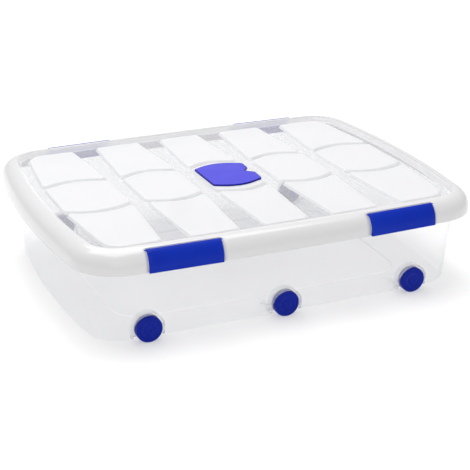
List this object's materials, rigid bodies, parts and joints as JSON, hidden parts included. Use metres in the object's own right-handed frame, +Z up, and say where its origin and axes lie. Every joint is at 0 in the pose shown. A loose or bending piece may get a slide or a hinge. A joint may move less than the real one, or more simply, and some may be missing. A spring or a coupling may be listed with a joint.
{
  "type": "under bed box",
  "caption": "Wide shallow storage box with bowed clear walls, a padded lid held by hinged clips, and wheels in pockets along its long sides.",
  "frame": {"origin": "centre of the footprint on the floor, under the wheels", "axes": "X along the length, Y from front to back, Z up"},
  "size_m": [0.79, 0.6136, 0.1845],
  "materials": {
    "clear_plastic": "clear, slightly milky, smooth",
    "frosted_plastic": "clear grooves, frosted pads, glossy pearly band",
    "clip_blue": "opaque cobalt blue, satin gloss",
    "wheel_blue": "opaque cobalt blue, satin gloss",
    "axle_blue": "opaque cobalt blue, satin gloss"
  },
  "bodies": {
    "tub": {"tub": "clear_plastic", "axle_front_left": "axle_blue", "axle_front_middle": "axle_blue", "axle_front_right": "axle_blue", "axle_rear_left": "axle_blue", "axle_rear_middle": "axle_blue", "axle_rear_right": "axle_blue"},
    "lid": {"lid": "frosted_plastic", "centre_cap": "clip_blue"},
    "clip_front_left": {"clip_front_left": "clip_blue"},
    "clip_front_right": {"clip_front_right": "clip_blue"},
    "clip_rear_left": {"clip_rear_left": "clip_blue"},
    "clip_rear_right": {"clip_rear_right": "clip_blue"},
    "wheel_front_left": {"wheel_front_left": "wheel_blue"},
    "wheel_front_middle": {"wheel_front_middle": "wheel_blue"},
    "wheel_front_right": {"wheel_front_right": "wheel_blue"},
    "wheel_rear_left": {"wheel_rear_left": "wheel_blue"},
    "wheel_rear_middle": {"wheel_rear_middle": "wheel_blue"},
    "wheel_rear_right": {"wheel_rear_right": "wheel_blue"}
  },
  "joints": [
    {"name": "lid_lift", "type": "slide", "parent": "tub", "child": "lid", "axis": [0, 0, 1], "range_m": [0, 0.25]},
    {"name": "hinge_front_left", "type": "hinge", "parent": "lid", "child": "clip_front_left", "pos_m": [-0.20382, -0.28775, 0.17966], "axis": [-0.9996, 0.0273, 0], "range_deg": [0, 110]},
    {"name": "hinge_front_right", "type": "hinge", "parent": "lid", "child": "clip_front_right", "pos_m": [0.20382, -0.28775, 0.17966], "axis": [-0.9996, -0.0273, 0], "range_deg": [0, 110]},
    {"name": "hinge_rear_left", "type": "hinge", "parent": "lid", "child": "clip_rear_left", "pos_m": [-0.20382, 0.28775, 0.17966], "axis": [0.9996, 0.0273, 0], "range_deg": [0, 110]},
    {"name": "hinge_rear_right", "type": "hinge", "parent": "lid", "child": "clip_rear_right", "pos_m": [0.20382, 0.28775, 0.17966], "axis": [0.9996, -0.0273, 0], "range_deg": [0, 110]},
    {"name": "spin_front_left", "type": "hinge", "parent": "tub", "child": "wheel_front_left", "pos_m": [-0.25675, -0.262, 0.02375], "axis": [0, 1, 0], "continuous": true},
    {"name": "spin_front_middle", "type": "hinge", "parent": "tub", "child": "wheel_front_middle", "pos_m": [0, -0.262, 0.02375], "axis": [0, 1, 0], "continuous": true},
    {"name": "spin_front_right", "type": "hinge", "parent": "tub", "child": "wheel_front_right", "pos_m": [0.25675, -0.262, 0.02375], "axis": [0, 1, 0], "continuous": true},
    {"name": "spin_rear_left", "type": "hinge", "parent": "tub", "child": "wheel_rear_left", "pos_m": [-0.25675, 0.262, 0.02375], "axis": [0, 1, 0], "continuous": true},
    {"name": "spin_rear_middle", "type": "hinge", "parent": "tub", "child": "wheel_rear_middle", "pos_m": [0, 0.262, 0.02375], "axis": [0, 1, 0], "continuous": true},
    {"name": "spin_rear_right", "type": "hinge", "parent": "tub", "child": "wheel_rear_right", "pos_m": [0.25675, 0.262, 0.02375], "axis": [0, 1, 0], "continuous": true}
  ]
}
